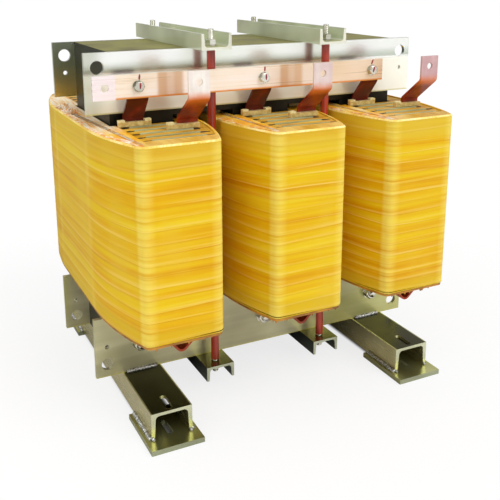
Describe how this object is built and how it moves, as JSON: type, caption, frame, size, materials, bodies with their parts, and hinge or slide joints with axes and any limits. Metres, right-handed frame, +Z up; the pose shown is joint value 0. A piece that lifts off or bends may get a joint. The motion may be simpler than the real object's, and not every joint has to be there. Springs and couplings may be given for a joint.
{
  "type": "dry type transformer",
  "caption": "Open three-limb dry type transformer with resin-taped barrel coils, zinc clamp plates, tie channels, copper terminals and channel feet.",
  "frame": {"origin": "on the floor, under the centre of the core", "axes": "+Z up; +X along the row of three coils; -Y is the low-voltage side with the neutral bar"},
  "size_m": [0.73, 0.648, 0.733],
  "materials": {
    "core_steel": "dark lacquered lamination edges",
    "upper_clamp_zinc": "bright passivated zinc",
    "lower_clamp_zinc": "dull yellow passivated zinc",
    "channel_zinc": "yellow passivated zinc on rolled steel",
    "foot_zinc": "olive-gold passivated zinc on rolled steel",
    "weld_metal": "zinc-sprayed weld",
    "fastener_zinc": "bright zinc",
    "sleeve_red": "red-brown insulating tube",
    "winding_layers": "varnished insulated winding",
    "resin_tape": "resin-soaked translucent tape",
    "end_board": "varnished board",
    "duct_board": "grey-blue spacer board",
    "lacquered_copper": "copper under red-brown lacquer",
    "copper": "bare copper with clear lacquer",
    "cream_insulation": "cream moulded insulation"
  },
  "bodies": {
    "root": {"bar_bolts": "fastener_zinc", "bar_nuts": "fastener_zinc", "bar_washers": "fastener_zinc", "base_plate_front_left": "foot_zinc", "base_plate_front_right": "foot_zinc", "base_plate_rear_left": "foot_zinc", "base_plate_rear_right": "foot_zinc", "coil_wrap_left": "resin_tape", "coil_wrap_middle": "resin_tape", "coil_wrap_right": "resin_tape", "duct_boards_left": "duct_board", "duct_boards_middle": "duct_board", "duct_boards_right": "duct_board", "end_ring_left": "end_board", "end_ring_middle": "end_board", "end_ring_right": "end_board", "foot_channel_left": "foot_zinc", "foot_channel_right": "foot_zinc", "inner_winding_left": "winding_layers", "inner_winding_middle": "winding_layers", "inner_winding_right": "winding_layers", "jumper_left": "lacquered_copper", "jumper_middle": "lacquered_copper", "jumper_right": "lacquered_copper", "lead_saddles": "cream_insulation", "limb_left": "core_steel", "limb_middle": "core_steel", "limb_right": "core_steel", "lower_clamp_front": "lower_clamp_zinc", "lower_clamp_rear": "lower_clamp_zinc", "lower_tie_channel_left": "channel_zinc", "lower_tie_channel_right": "channel_zinc", "lower_yoke": "core_steel", "m12_nuts": "fastener_zinc", "m12_washers": "fastener_zinc", "m16_nuts": "fastener_zinc", "m16_washers": "fastener_zinc", "neutral_bar": "copper", "neutral_riser_left": "lacquered_copper", "neutral_riser_middle": "lacquered_copper", "neutral_riser_right": "lacquered_copper", "outer_winding_left": "winding_layers", "outer_winding_middle": "winding_layers", "outer_winding_right": "winding_layers", "phase_terminal_left": "copper", "phase_terminal_middle": "copper", "phase_terminal_right": "copper", "rear_terminal_left": "copper", "rear_terminal_middle": "copper", "rear_terminal_right": "copper", "rod_sleeves": "sleeve_red", "support_blocks": "cream_insulation", "tie_rods": "fastener_zinc", "upper_clamp_front": "upper_clamp_zinc", "upper_clamp_rear": "upper_clamp_zinc", "upper_tie_channel_left": "channel_zinc", "upper_tie_channel_right": "channel_zinc", "upper_yoke": "core_steel", "weld_beads": "weld_metal", "yoke_studs": "fastener_zinc"}
  },
  "joints": []
}
